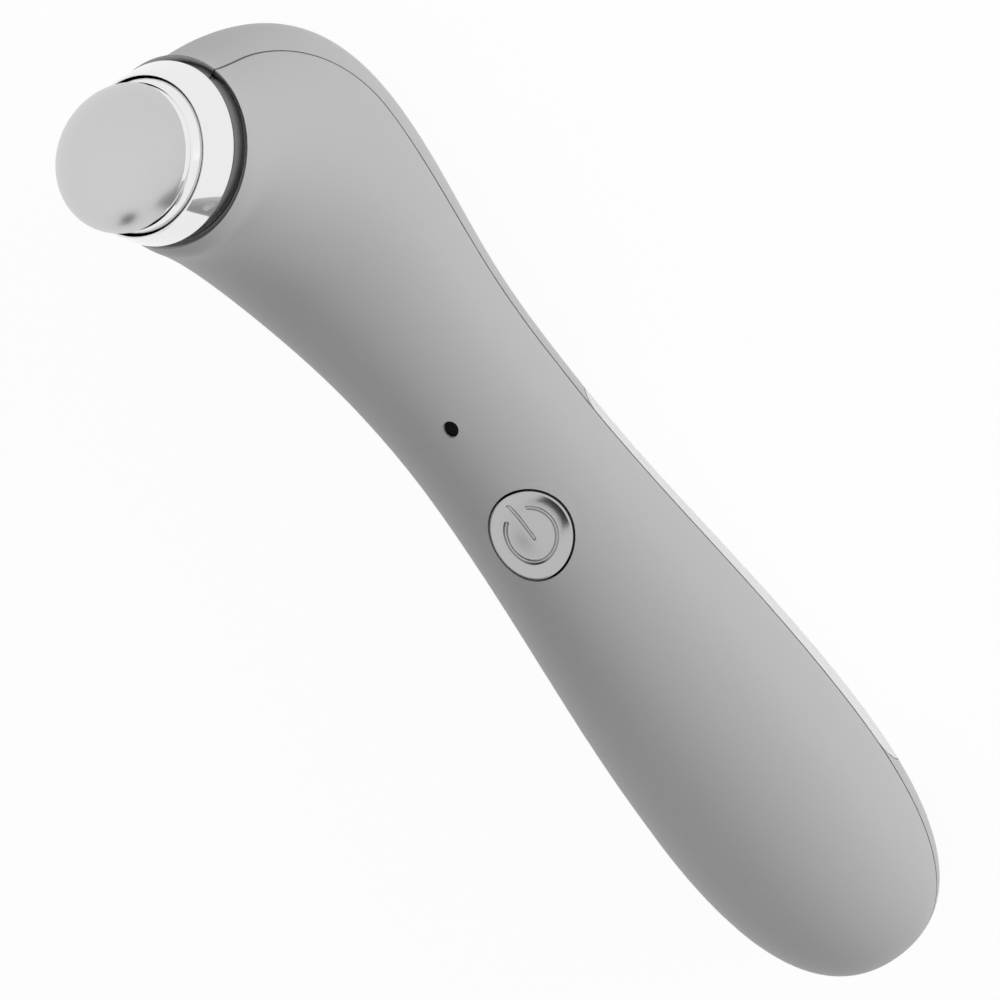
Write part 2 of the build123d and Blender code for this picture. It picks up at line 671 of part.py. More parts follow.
# Heat sink: a boss against the pad, a flange under the frame and a row of fins
sink_top = hot_side - PAD_THICKNESS
with BuildPart() as heat_sink:
    with BuildSketch(at_mouth(sink_top)):
        Circle(frame_bore - FRAME_CLEARANCE)
    extrude(amount=-FRAME_DEPTH - sink_top)
    with BuildSketch(at_mouth(-FRAME_DEPTH)):
        Circle(FRAME_RADIUS)
    extrude(amount=-SINK_FLANGE)
    with BuildSketch(at_mouth(-FRAME_DEPTH - SINK_FLANGE)):
        fin_pitch = 2 * (frame_bore - FIN_THICKNESS) / (SINK_FINS - 1)
        for fin in range(SINK_FINS):
            across = -frame_bore + FIN_THICKNESS + fin * fin_pitch
            reach = sqrt(frame_bore**2 - across**2)
            with Locations((0, across)):
                Rectangle(2 * reach, FIN_THICKNESS)
    extrude(amount=-FIN_LENGTH)


pieces = {
    "front_shell": front_shell, "rear_shell": rear_shell, "battery_cover": battery_cover,
    "shell_screws": shell_screws, "battery_left": battery_left, "battery_right": battery_right,
    "contact_plates": contact_plates, "contact_springs": contact_springs,
    "power_button": power_button, "circuit_board": circuit_board, "board_screws": board_screws,
    "tactile_switch": tactile_switch, "switch_plunger": switch_plunger,
    "indicator_led": indicator_led, "light_guide": light_guide, "control_chip": control_chip,
    "choke": choke, "capacitor": capacitor, "vibration_motor": vibration_motor,
    "motor_shaft": motor_shaft, "eccentric_weight": eccentric_weight,
    "motor_cradle": motor_cradle, "collar": collar, "treatment_tip": treatment_tip,
    "head_seal": head_seal, "head_frame": head_frame, "cold_plate": cold_plate,
    "semiconductor_pellets": semiconductor_pellets, "hot_plate": hot_plate,
    "thermal_pad": thermal_pad, "heat_sink": heat_sink,
}
for name, piece in pieces.items():
    finish(piece, name)
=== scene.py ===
import math

import bpy
import numpy as np
from mathutils import Matrix, Vector


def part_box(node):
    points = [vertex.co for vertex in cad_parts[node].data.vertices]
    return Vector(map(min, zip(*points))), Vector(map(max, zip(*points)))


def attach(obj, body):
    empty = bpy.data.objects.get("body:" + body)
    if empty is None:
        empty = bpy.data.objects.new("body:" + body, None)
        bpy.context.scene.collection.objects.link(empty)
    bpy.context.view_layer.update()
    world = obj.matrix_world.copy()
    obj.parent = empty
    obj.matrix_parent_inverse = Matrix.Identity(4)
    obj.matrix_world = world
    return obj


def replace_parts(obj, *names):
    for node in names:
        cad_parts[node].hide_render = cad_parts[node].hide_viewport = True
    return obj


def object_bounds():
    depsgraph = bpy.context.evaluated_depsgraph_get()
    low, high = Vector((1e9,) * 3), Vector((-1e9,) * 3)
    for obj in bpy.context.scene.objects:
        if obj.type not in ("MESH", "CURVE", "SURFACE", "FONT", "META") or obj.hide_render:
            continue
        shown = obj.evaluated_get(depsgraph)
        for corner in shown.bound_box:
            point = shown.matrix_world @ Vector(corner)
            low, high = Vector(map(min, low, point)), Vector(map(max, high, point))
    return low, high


# The frame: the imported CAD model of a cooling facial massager, lying on its back, in metres.
# +X runs from the handle's end to the head and +Z out of the front, where the button is.
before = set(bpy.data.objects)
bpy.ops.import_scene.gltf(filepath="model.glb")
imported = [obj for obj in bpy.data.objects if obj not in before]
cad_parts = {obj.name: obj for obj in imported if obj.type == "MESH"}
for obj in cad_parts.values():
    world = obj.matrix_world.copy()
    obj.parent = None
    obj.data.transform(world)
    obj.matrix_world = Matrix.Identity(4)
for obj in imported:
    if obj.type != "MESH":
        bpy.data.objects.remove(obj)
cad_low, cad_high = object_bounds()


# Housing: two halves of soft-touch grey plastic, moulded, closed along the parting line and
# held by two screws under the battery cover. The mouth in the head holds the metal parts.
SHELL_GREY = (0.42, 0.42, 0.42, 1)
SHELL_ROUGHNESS = 0.48
SKIN_GRAIN = 5200
SKIN_DEPTH = 0.00002
# The seam's near black is painted shade: the shade in the gap between the halves.
SEAM_PAINTED_SHADE = (0.05, 0.045, 0.04, 1)
SEAM_HALF_WIDTH = 0.00015
SEAM_GROOVE = 6
SEAM_BEND_FROM_END = 0.098
SEAM_RISE = 0.0034
SEAM_TURN_BACK = 0.0102
SEAM_END_BACK = 0.0072
SEAM_END_UP = 0.0418
SEAM_CORNER = 0.016
SEAL_BELOW_MOUTH = 0.0018
LIP_OUTER = 0.0142
LIP_INNER = 0.01345
LIP_DEPTH = 0.0011
LIP_INWARD = 0.0006
LIP_LOWER = 0.001
LIP_REACH = 0.007
LIP_UNEVEN = 0.4
LIP_ROLL = 0.4
LIP_TOLERANCE = 0.00006
FACES_OUT = 0.9
DOUBLES = 0.000001


class Wire:
    """A value in a tree of nodes, so that its maths is written as a Python expression."""

    def __init__(self, nodes, socket):
        self.nodes, self.socket = nodes, socket

    def maths(self, operation, *values):
        return self.nodes.add("ShaderNodeMath", {"operation": operation}, dict(enumerate(values)))

    def __add__(self, other):
        return self.maths("ADD", self, other)

    def __sub__(self, other):
        return self.maths("SUBTRACT", self, other)

    def __rsub__(self, other):
        return self.maths("SUBTRACT", other, self)

    def __mul__(self, other):
        return self.maths("MULTIPLY", self, other)

    def __truediv__(self, other):
        return self.maths("DIVIDE", self, other)

    def __rtruediv__(self, other):
        return self.maths("DIVIDE", other, self)

    def __pow__(self, other):
        return self.maths("POWER", self, other)

    def __rpow__(self, other):
        return self.maths("POWER", other, self)

    def __abs__(self):
        return self.maths("ABSOLUTE", self)

    def __lt__(self, other):
        return self.maths("LESS_THAN", self, other)

    def __gt__(self, other):
        return self.maths("GREATER_THAN", self, other)

    __radd__, __rmul__ = __add__, __mul__


class Nodes:
    """A tree of nodes. Each node comes from add(): its kind, its settings, then its sockets."""

    def __init__(self, tree):
        self.tree = tree

    def add(self, kind, settings, sockets, output=0):
        made = self.tree.nodes.new(kind)
        for key, value in settings.items():
            setattr(made, key, value)
        for key, value in sockets.items():
            self.fill(made.inputs[key], value)
        return Wire(self, made.outputs[output])

    def fill(self, socket, value):
        """Set a socket to a value, or link a wire or a list of wires into it."""
        for one in value if isinstance(value, list) else [value]:
            if isinstance(one, Wire):
                self.tree.links.new(one.socket, socket)
            else:
                socket.default_value = one


class Finish(Nodes):
    """A material: its Principled shader, and what changes its look over the surface."""

    def __init__(self, name, colour, roughness, metallic=0.0):
        self.material = bpy.data.materials.new(name)
        self.material.use_nodes = True
        super().__init__(self.material.node_tree)
        self.shader = self.tree.nodes["Principled BSDF"]
        self.link("Base Color", colour)
        self.link("Roughness", roughness)
        self.link("Metallic", metallic)

    def link(self, name, value):
        self.fill(self.shader.inputs[name], value)

    def places(self):
        """The point on the piece, in the object's own coordinates."""
        return self.add("ShaderNodeTexCoord", {}, {}, "Object")

    def along(self, axis):
        """How far the point on the piece lies along X, Y or Z."""
        return self.add("ShaderNodeSeparateXYZ", {}, {"Vector": self.places()}, axis)

    def noise(self, scale, detail=2.0, stretch=(1, 1, 1)):
        """Even noise between 0 and 1, stretched along the axes where the finish has a grain."""
        drawn_out = self.add("ShaderNodeMapping", {}, {"Vector": self.places(), "Scale": stretch})
        sizes = {"Vector": drawn_out, "Scale": scale, "Detail": detail}
        return self.add("ShaderNodeTexNoise", {}, sizes)

    def bump(self, height, depth):
        sizes = {"Height": height, "Strength": 1.0, "Distance": depth}
        self.link("Normal", self.add("ShaderNodeBump", {}, sizes))

    def mix(self, share, first, second):
        """One colour going over into another. The node's colours are sockets 6, 7 and output 2."""
        return self.add("ShaderNodeMix", {"data_type": "RGBA"}, {0: share, 6: first, 7: second}, 2)


def middle(name):
    """The middle of a CAD piece's box."""
    low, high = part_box(name)
    return (low + high) / 2


def parting_line(finish):
    """1 where the halves meet: level along the handle, rising past its bend, up to the mouth."""
    level_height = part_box("front_shell")[0].z
    bend, head_end = cad_low.x + SEAM_BEND_FROM_END, -cad_low.x
    slope = SEAM_RISE / (head_end - SEAM_TURN_BACK - bend)
    lean = (SEAM_TURN_BACK - SEAM_END_BACK) / (SEAM_END_UP - SEAM_RISE)
    turn = head_end - SEAM_TURN_BACK - lean * SEAM_RISE
    along, height = finish.along("X"), finish.along("Z") - level_height
    above = height - along.maths("MAXIMUM", along - bend, 0) * slope
    behind = (turn - along) + height * lean
    over = above.maths("MAXIMUM", SEAM_CORNER - above, 0)
    beside = behind.maths("MAXIMUM", SEAM_CORNER - behind, 0)
    round_corner = SEAM_CORNER - (over * over + beside * beside) ** 0.5
    straight = above.maths("MINIMUM", above, behind)
    at_corner = (over > 0) * (beside > 0)
    return abs(round_corner * at_corner + straight * (1 - at_corner)) < SEAM_HALF_WIDTH


def pick(made):
    """Make an object the only one that Blender's own tools work on."""
    bpy.context.view_layer.objects.active = made
    bpy.ops.object.select_all(action="DESELECT")
    made.select_set(True)


def merge(made, turn_out):
    """Merge a mesh's doubled points and, for a mesh made here, point its faces outwards."""
    pick(made)
    bpy.ops.object.mode_set(mode="EDIT")
    bpy.ops.mesh.select_all(action="SELECT")
    bpy.ops.mesh.remove_doubles(threshold=DOUBLES)
    if turn_out:
        bpy.ops.mesh.normals_make_consistent(inside=False)
    bpy.ops.object.mode_set(mode="OBJECT")


def merged_copy(name, new_name):
    """A merged copy of a CAD piece, with the CAD's normal for each corner of each face."""
    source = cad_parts[name]
    made = source.copy()
    made.data = source.data.copy()
    made.name = made.data.name = new_name
    bpy.context.scene.collection.objects.link(made)
    normals = np.array([corner.vector for corner in made.data.corner_normals])
    kept = made.data.attributes.new("cad_normal", "FLOAT_VECTOR", "CORNER")
    kept.data.foreach_set("vector", normals.ravel())
    merge(made, False)
    kept = made.data.attributes["cad_normal"]
    normals = np.array([corner.vector for corner in kept.data])
    made.data.attributes.remove(kept)
    return made, normals


def lipped(name):
    """A copy of a CAD half, drawn in round its mouth to a lip that rolls into the recess."""
    made, normals = merged_copy(name, name + "_lipped")
    mesh = made.data
    axis, centre = np.array(mouth_axis), np.array(mouth)
    corners = np.array([loop.vertex_index for loop in mesh.loops])
    points = np.array([vertex.co for vertex in mesh.vertices]) - centre
    heights = points @ axis
    outward = points - np.outer(heights, axis)
    radii = np.linalg.norm(outward, axis=1)
    directions = outward / np.maximum(radii, LIP_TOLERANCE)[:, None]

    at_rim = (abs(heights) < LIP_TOLERANCE) & (radii < LIP_OUTER + LIP_TOLERANCE)
    at_rim &= radii > LIP_INNER - LIP_TOLERANCE
    inner = at_rim & (radii < LIP_INNER + LIP_TOLERANCE)
    on_lip = at_rim[corners] & (normals @ axis > FACES_OUT)
    low_side, high_side = on_lip & inner[corners], on_lip & ~inner[corners]
    normals[low_side] = -directions[corners][low_side]
    normals[high_side] = axis - directions[corners][high_side] * LIP_ROLL
    points[inner] -= LIP_DEPTH * axis

    share = np.exp(-((np.hypot(radii - LIP_OUTER, heights) / LIP_REACH) ** 2))
    ahead = directions @ np.array(Vector((0, 1, 0)).cross(mouth_axis))
    share *= 1 - ahead * LIP_UNEVEN
    points -= share[:, None] * (LIP_INWARD * directions + LIP_LOWER * axis)
    mesh.vertices.foreach_set("co", (points + centre).ravel())
    mesh.normals_split_custom_set(normals / np.linalg.norm(normals, axis=1)[:, None])
    mesh.materials.clear()
    mesh.materials.append(shell_finish.material)
    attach(made, "housing")
    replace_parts(made, name)


mouth_axis = (middle("head_seal") - middle("hot_plate")).normalized()
mouth = middle("head_seal") + mouth_axis * SEAL_BELOW_MOUTH
shell_finish = Finish("soft touch grey plastic", SHELL_GREY, SHELL_ROUGHNESS)
seam = parting_line(shell_finish)
# Along the parting line the base colour goes near black. This is painted shade in the gap between
# the halves. The bump sinks the same line as a real groove.
shell_finish.link("Base Color", shell_finish.mix(seam, SHELL_GREY, SEAM_PAINTED_SHADE))
shell_finish.bump(shell_finish.noise(SKIN_GRAIN) - seam * SEAM_GROOVE, SKIN_DEPTH)
lipped("front_shell")
lipped("rear_shell")


# Battery cover: a clip-on skin over the back of the handle, moulded in the same plastic, with a
# hair gap all round. It lifts off to reach the cells. Its grey is lighter than the shell's: partly
# its own tone, and partly painted light for the brighter light that falls along it.
COVER_GREY_AND_PAINTED_LIGHT = (0.64, 0.64, 0.64, 1)


def dress(names, finish):
    """Give CAD pieces their finish."""
    for name in names:
        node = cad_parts[name]
        node.data.materials.clear()
        node.data.materials.append(finish.material)


cover_finish = Finish("lighter grey plastic", COVER_GREY_AND_PAINTED_LIGHT, SHELL_ROUGHNESS)
cover_finish.bump(cover_finish.noise(SKIN_GRAIN), SKIN_DEPTH)
dress(["battery_cover"], cover_finish)


# Collar: a turned and chromed ring, tapered and slanted towards the handle, set in the
# mouth. Its widest edge stands over the lip and hides the gap behind it.
COLLAR_RADIUS = 0.01305
COLLAR_FRONT_RADIUS = 0.0115
COLLAR_BORE = 0.0112
COLLAR_SKIRT = 0.0126
COLLAR_WIDEST = 0.0014
COLLAR_TOP = 0.0068
COLLAR_FOOT = -0.0021
COLLAR_SHOULDER = 0.0009
COLLAR_EDGE = 0.00035
SLANT = 0.215
EDGE_STEPS = 6
ROUND_STEPS = 160
SHARP_EDGE = 35
CHROME = (0.84, 0.84, 0.845, 1)
CHROME_ROUGHNESS = 0.05


def softened(corners, radius):
    """An open outline of (radius, height) points with each inner corner rounded."""
    points = [Vector(corners[0])]
    for before, corner, after in zip(corners, corners[1:], corners[2:]):
        before, corner, after = Vector(before), Vector(corner), Vector(after)
        reach = min(radius, (before - corner).length / 2, (after - corner).length / 2)
        start = corner + (before - corner).normalized() * reach
        stop = corner + (after - corner).normalized() * reach
        for step in range(EDGE_STEPS + 1):
            share = step / EDGE_STEPS
            points.append(start.lerp(corner, share).lerp(corner.lerp(stop, share), share))
    return points + [Vector(corners[-1])]


def ring_faces(rings, steps):
    """The faces between rings of points that follow one another."""
    faces = []
    for ring in range(rings - 1):
        for step in range(steps):
            left, right = ring * steps + step, ring * steps + (step + 1) % steps
            faces.append((left, right, right + steps, left + steps))
    return faces


def piece(name, points, faces, finish, body, sharp=SHARP_EDGE):
    """A mesh piece in the frame, its doubles merged and its faces pointing outwards."""
    mesh = bpy.data.meshes.new(name)
    mesh.from_pydata([tuple(point) for point in points], [], faces)
    made = bpy.data.objects.new(name, mesh)
    bpy.context.scene.collection.objects.link(made)
    merge(made, True)
    bpy.ops.object.shade_smooth_by_angle(angle=math.radians(sharp))
    made.data.materials.append(finish.material)
    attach(made, body)
    return made


def turned(name, profile, finish):
    """A turned piece: its profile of (radius, height) points goes round the slanted axis."""
    aside = Vector((0, 1, 0))
    across = aside.cross(mouth_axis)
    path = mouth_axis - across * SLANT
    points = []
    for radius, height in profile:
        for step in range(ROUND_STEPS):
            angle = 2 * math.pi * step / ROUND_STEPS
            out = across * math.cos(angle) + aside * math.sin(angle)
            points.append(mouth + path * height + out * radius)
    faces = ring_faces(len(profile), ROUND_STEPS)
    return piece(name, points, faces, finish, "housing")


chrome = Finish("polished chrome", CHROME, CHROME_ROUGHNESS, 1.0)
collar_outline = softened(
    [
        (COLLAR_BORE, COLLAR_FOOT),
        (COLLAR_SKIRT, COLLAR_FOOT),
        (COLLAR_SKIRT, COLLAR_SHOULDER),
        (COLLAR_RADIUS, COLLAR_WIDEST),
        (COLLAR_FRONT_RADIUS, COLLAR_TOP),
        (COLLAR_BORE, COLLAR_TOP),
        (COLLAR_BORE, COLLAR_FOOT),
    ],
    COLLAR_EDGE,
)
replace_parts(turned("collar_ring", collar_outline, chrome), "collar")


# Treatment tip: a solid aluminium head that the cooler chills, a dome on the collar's slanted
# axis. A polished band goes round its foot, and a finer brush leaves the face satin.
TIP_RIM = 0.01045
TIP_RIM_HEIGHT = 0.01
TIP_HEIGHT = 0.0101
TIP_SHOULDER = 0.0068
TIP_FLAT = 0.0038
BAND_RADIUS = 0.01105
BAND_FOOT = 0.0064
BAND_TOP = 0.00985
BAND_WAIST = 0.01025
DOME_STEPS = 48
TIP_METAL = (0.6, 0.6, 0.6, 1)
TIP_ROUGHNESS = 0.32
BRUSH_GRAIN, BRUSH_DETAIL, BRUSH_DEPTH = 2600, 3.0, 0.000006


def bezier(first, second, third, fourth, steps):
    """Points on a curve that leaves the first point for the second and ends at the fourth."""
    found = []
    for step in range(steps + 1):
        t = step / steps
        weights = ((1 - t) ** 3, 3 * t * (1 - t) ** 2, 3 * t * t * (1 - t), t**3)
        pulls = (Vector(p) * w for p, w in zip((first, second, third, fourth), weights))
        found.append(sum(pulls, Vector((0, 0))))
    return found


dome_curve = bezier(
    (0, TIP_HEIGHT), (TIP_FLAT, TIP_HEIGHT), (TIP_RIM, TIP_SHOULDER), (TIP_RIM, 0), DOME_STEPS
)
dome_outline = [point + Vector((0, TIP_RIM_HEIGHT)) for point in dome_curve]
dome_outline.append(Vector((0, TIP_RIM_HEIGHT)))
band_outline = softened(
    [
        (0, COLLAR_FOOT),
        (BAND_RADIUS, COLLAR_FOOT),
        (BAND_RADIUS, BAND_FOOT),
        (BAND_WAIST, (BAND_FOOT + BAND_TOP) / 2),
        (BAND_WAIST, BAND_TOP),
        (0, BAND_TOP),
    ],
    COLLAR_EDGE,
)
tip_finish = Finish("satin aluminium", TIP_METAL, TIP_ROUGHNESS, 1.0)
tip_finish.bump(tip_finish.noise(BRUSH_GRAIN, BRUSH_DETAIL), BRUSH_DEPTH)
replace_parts(turned("tip_dome", dome_outline, tip_finish), "treatment_tip")
turned("tip_band", band_outline, chrome)


# Cooler under the tip: a thermoelectric stack in a moulded carrier, with a soft seal, a
# silicone pad and a finned aluminium block behind it that takes up the heat.
SINK_GRAIN, SINK_STRETCH, SINK_DEPTH = 2500, (1, 1, 0.1), 0.00001

rubber_finish = Finish("soft black rubber", (0.025, 0.025, 0.026, 1), roughness=0.75)
dress(["head_seal", "motor_cradle"], rubber_finish)
carrier_finish = Finish("natural white plastic", (0.7, 0.7, 0.67, 1), roughness=0.5)
dress(["head_frame"], carrier_finish)
ceramic_finish = Finish("alumina ceramic", (0.83, 0.83, 0.8, 1), roughness=0.6)
dress(["cold_plate", "hot_plate"], ceramic_finish)
pellet_finish = Finish("bismuth telluride", (0.24, 0.24, 0.26, 1), roughness=0.4, metallic=0.8)
dress(["semiconductor_pellets"], pellet_finish)
pad_finish = Finish("blue silicone pad", (0.25, 0.36, 0.5, 1), roughness=0.8)
dress(["thermal_pad"], pad_finish)
sink_finish = Finish("extruded aluminium", (0.62, 0.62, 0.62, 1), roughness=0.4, metallic=1.0)
sink_finish.bump(sink_finish.noise(SINK_GRAIN, stretch=SINK_STRETCH), SINK_DEPTH)
dress(["heat_sink"], sink_finish)


# Power button: moulded and plated in satin chrome, dished for the thumb, with a thin rim. The
# power symbol is sunk into its face: a ring open towards the head, and a bar through the gap.
BUTTON_RADIUS = 0.00648
BUTTON_RISE = 0.00005
BUTTON_DISH = 0.0013
DISH_POWER = 3
BUTTON_EDGE = 0.00022
BUTTON_SKIRT = 0.0016
SYMBOL_RADIUS = 0.004
SYMBOL_HALF_WIDTH = 0.00038
SYMBOL_DEPTH = 0.0004
SYMBOL_WALL_POWER = 1.5
SYMBOL_GAP = math.radians(31.5)
SYMBOL_ASIDE = 0.0003
BAR_START, BAR_END = -0.00065, 0.0051
FACE_RINGS, EDGE_RINGS, SPOKES = 110, 3, 360
PROBED_SHARE = 0.9
BUTTON_METAL = (0.47, 0.47, 0.47, 1)
BUTTON_ROUGHNESS = 0.2
BUTTON_BRUSH_DEPTH = 0.000004
BUTTON_SHARP_EDGE = 50


def sunk(x, y):
    """How deep the symbol is at a place on the button, measured from its middle."""
    y -= SYMBOL_ASIDE
    angle = max(abs(math.atan2(y, x)), SYMBOL_GAP)
    ring_x, ring_y = SYMBOL_RADIUS * math.cos(angle), SYMBOL_RADIUS * math.sin(angle)
    to_ring = math.hypot(x - ring_x, y - math.copysign(ring_y, y))
    to_bar = math.hypot(x - min(max(x, BAR_START), BAR_END), y)
    share = min(to_ring, to_bar) / SYMBOL_HALF_WIDTH
    return SYMBOL_DEPTH * max(0, 1 - share**2) ** SYMBOL_WALL_POWER


def face_height(x, y):
    """Height of the CAD button's face at a place measured from its middle."""
    start = Vector((button_middle.x + x, button_middle.y + y, button_top + BUTTON_SKIRT))
    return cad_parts["power_button"].ray_cast(start, Vector((0, 0, -1)))[1].z


def button_points():
    """Rings from the middle of the dish out to the rim, over its edge and down its skirt."""
    probe = button_half_width * PROBED_SHARE
    crown, aside = face_height(0, 0), face_height(0, probe)
    ahead, behind = face_height(probe, 0), face_height(-probe, 0)
    points = []
    for ring in range(FACE_RINGS + EDGE_RINGS + 2):
        share = min(ring / FACE_RINGS, 1)
        turn = min(max(ring - FACE_RINGS, 0) / EDGE_RINGS, 1) * math.pi / 2
        radius = (BUTTON_RADIUS - BUTTON_EDGE) * share + BUTTON_EDGE * math.sin(turn)
        fall = BUTTON_EDGE * (1 - math.cos(turn)) + BUTTON_DISH * (1 - share**DISH_POWER)
        if ring > FACE_RINGS + EDGE_RINGS:
            fall += BUTTON_SKIRT
        for spoke in range(SPOKES):
            angle = 2 * math.pi * spoke / SPOKES
            x, y = radius * math.cos(angle), radius * math.sin(angle)
            u, v = x / probe, y / probe
            height = crown + (ahead - behind) / 2 * u + ((ahead + behind) / 2 - crown) * u * u
            height += (aside - crown) * v * v + BUTTON_RISE - sunk(x, y) - fall
            points.append(Vector((button_middle.x + x, button_middle.y + y, height)))
    return points


button_middle = middle("power_button")
button_low, button_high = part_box("power_button")
button_half_width, button_top = (button_high.y - button_low.y) / 2, button_high.z
button_finish = Finish("satin plated button", BUTTON_METAL, BUTTON_ROUGHNESS, 1.0)
button_finish.bump(button_finish.noise(BRUSH_GRAIN, BRUSH_DETAIL), BUTTON_BRUSH_DEPTH)
button_faces = ring_faces(FACE_RINGS + EDGE_RINGS + 2, SPOKES)
button = piece(
    "button_cap", button_points(), button_faces, button_finish, "button", BUTTON_SHARP_EDGE
)
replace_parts(button, "power_button")


# Screws: zinc-plated steel with a cross recess, two that close the housing under the battery
# cover and two that hold the board on its posts. One Geometry Nodes tree makes every screw.
SCREW_HEAD_RADIUS = 0.0016
SCREW_HEAD_HEIGHT = 0.001
HEAD_TAPER = 0.72
HEAD_SIDES, CORE_SIDES, THREAD_SIDES = 40, 32, 6
SCREW_CORE_RADIUS = 0.00068
THREAD_RADIUS = 0.00017
THREAD_PITCH = 0.00055
CROSS_LENGTH, CROSS_WIDTH, CROSS_DEPTH = 0.002, 0.0004, 0.0006
PLACE_DIGITS = 6


def screw_tree():
    """A tree that sets one cross-head screw, its head at the back, on each point it is given."""
    nodes = Nodes(bpy.data.node_groups.new("screws", "GeometryNodeTree"))
    sides = nodes.tree.interface
    sides.new_socket("Places", in_out="INPUT", socket_type="NodeSocketGeometry")
    for name in ("Head Radius", "Head Height", "Core Radius", "Length", "Pitch"):
        sides.new_socket(name, in_out="INPUT", socket_type="NodeSocketFloat")
    sides.new_socket("Finish", in_out="INPUT", socket_type="NodeSocketMaterial")
    sides.new_socket("Screws", in_out="OUTPUT", socket_type="NodeSocketGeometry")
    inputs = nodes.tree.nodes.new("NodeGroupInput").outputs

    def given(name):
        return Wire(nodes, inputs[name])

    def raised(geometry, height):
        place = nodes.add("ShaderNodeCombineXYZ", {}, {"Z": height})
        moved = {"Geometry": geometry, "Translation": place}
        return nodes.add("GeometryNodeTransform", {}, moved)

    def crossbar(length, width):
        return nodes.add("GeometryNodeMeshCube", {}, {"Size": (length, width, CROSS_DEPTH)})

    head_sizes = {
        "Vertices": HEAD_SIDES,
        "Radius Bottom": given("Head Radius") * HEAD_TAPER,
        "Radius Top": given("Head Radius"),
        "Depth": given("Head Height"),
    }
    head = nodes.add("GeometryNodeMeshCone", {}, head_sizes)
    bars = [crossbar(CROSS_LENGTH, CROSS_WIDTH), crossbar(CROSS_WIDTH, CROSS_LENGTH)]
    cut = {"operation": "DIFFERENCE"}
    head = nodes.add("GeometryNodeMeshBoolean", cut, {"Mesh 1": head, "Mesh 2": bars})

    core_sizes = {
        "Vertices": CORE_SIDES,
        "Radius": given("Core Radius"),
        "Depth": given("Length"),
    }
    core = nodes.add("GeometryNodeMeshCylinder", {}, core_sizes)
    core = raised(core, given("Head Height") + given("Length") / 2)

    winding = {
        "Resolution": CORE_SIDES,
        "Rotations": given("Length") / given("Pitch"),
        "Start Radius": given("Core Radius"),
        "End Radius": given("Core Radius"),
        "Height": given("Length"),
    }
    helix = nodes.add("GeometryNodeCurveSpiral", {}, winding)
    crest_sizes = {"Resolution": THREAD_SIDES, "Radius": THREAD_RADIUS}
    crest = nodes.add("GeometryNodeCurvePrimitiveCircle", {}, crest_sizes)
    sweep = {"Curve": helix, "Profile Curve": crest, "Fill Caps": True}
    thread = raised(nodes.add("GeometryNodeCurveToMesh", {}, sweep), given("Head Height"))

    screw = nodes.add("GeometryNodeJoinGeometry", {}, {"Geometry": [head, core, thread]})
    spread = {"Points": given("Places"), "Instance": screw}
    every = nodes.add("GeometryNodeInstanceOnPoints", {}, spread)
    real = nodes.add("GeometryNodeRealizeInstances", {}, {"Geometry": every})
    finished = {"Geometry": real, "Material": given("Finish")}
    dressed = nodes.add("GeometryNodeSetMaterial", {}, finished)
    nodes.fill(nodes.tree.nodes.new("NodeGroupOutput").inputs[0], dressed)
    return nodes.tree


def screws(name, node, tree):
    """Replace a CAD node of upright screws with one at each different corner of its box.

    Corners that round to one place share a screw. The board's miss that by a few micrometres
    across the row, so each of its two screws is made twice, one inside the other.
    """
    low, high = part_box(node)
    edge = Vector((SCREW_HEAD_RADIUS, SCREW_HEAD_RADIUS, 0))
    near, far = low + edge, high - edge
    places = set()
    for x in (near.x, far.x):
        for y in (near.y, far.y):
            places.add((round(x, PLACE_DIGITS), round(y, PLACE_DIGITS), low.z))
    mesh = bpy.data.meshes.new(name)
    mesh.from_pydata(sorted(places), [], [])
    made = bpy.data.objects.new(name, mesh)
    bpy.context.scene.collection.objects.link(made)
    sizes = {
        "Head Radius": SCREW_HEAD_RADIUS,
        "Head Height": SCREW_HEAD_HEIGHT,
        "Core Radius": SCREW_CORE_RADIUS,
        "Length": high.z - low.z - SCREW_HEAD_HEIGHT - THREAD_RADIUS,
        "Pitch": THREAD_PITCH,
        "Finish": screw_finish.material,
    }
    modifier = made.modifiers.new("screws", "NODES")
    modifier.node_group = tree
    for item in tree.interface.items_tree:
        if item.name in sizes:
            modifier[item.identifier] = sizes[item.name]
    evaluated = made.evaluated_get(bpy.context.evaluated_depsgraph_get())
    made.data = bpy.data.meshes.new_from_object(evaluated)
    made.modifiers.clear()
    pick(made)
    bpy.ops.object.shade_smooth_by_angle(angle=math.radians(SHARP_EDGE))
    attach(made, "housing")
    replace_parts(made, node)


screw_finish = Finish("zinc plated steel", (0.6, 0.6, 0.6, 1), roughness=0.3, metallic=1.0)
one_screw = screw_tree()
screws("shell_screw_pair", "shell_screws", one_screw)
screws("board_screw_set", "board_screws", one_screw)


# Batteries: two AAA cells with a printed film sleeve over a steel can, held between sprung
# contacts at one end and flat ones at the other. The sleeve is plain, with a lighter band.
SLEEVE_DARK = (0.03, 0.035, 0.05, 1)
SLEEVE_BAND = (0.55, 0.35, 0.12, 1)
SLEEVE_BAND_WIDTH = 0.006

cell_finish = Finish("cell sleeve", SLEEVE_DARK, roughness=0.3)
cell_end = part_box("battery_left")[1].x
banded = abs(cell_finish.along("X") - cell_end) < SLEEVE_BAND_WIDTH
cell_finish.link("Base Color", cell_finish.mix(banded, SLEEVE_DARK, SLEEVE_BAND))
dress(["battery_left", "battery_right"], cell_finish)


# Contacts: nickel-plated spring steel, flat plates for the cells' tips and coil springs for
# their bases, pushed into slots in the tray. The motor's shaft has the same bright finish.
PLATING_GRAIN, PLATING_DULLEST, PLATING_SPREAD = 900, 0.15, 0.15

contact_finish = Finish("nickel plate", (0.75, 0.74, 0.7, 1), roughness=0.2, metallic=1.0)
wear = contact_finish.noise(PLATING_GRAIN) * PLATING_SPREAD + PLATING_DULLEST
contact_finish.link("Roughness", wear)
dress(["contact_plates", "contact_springs", "motor_shaft"], contact_finish)


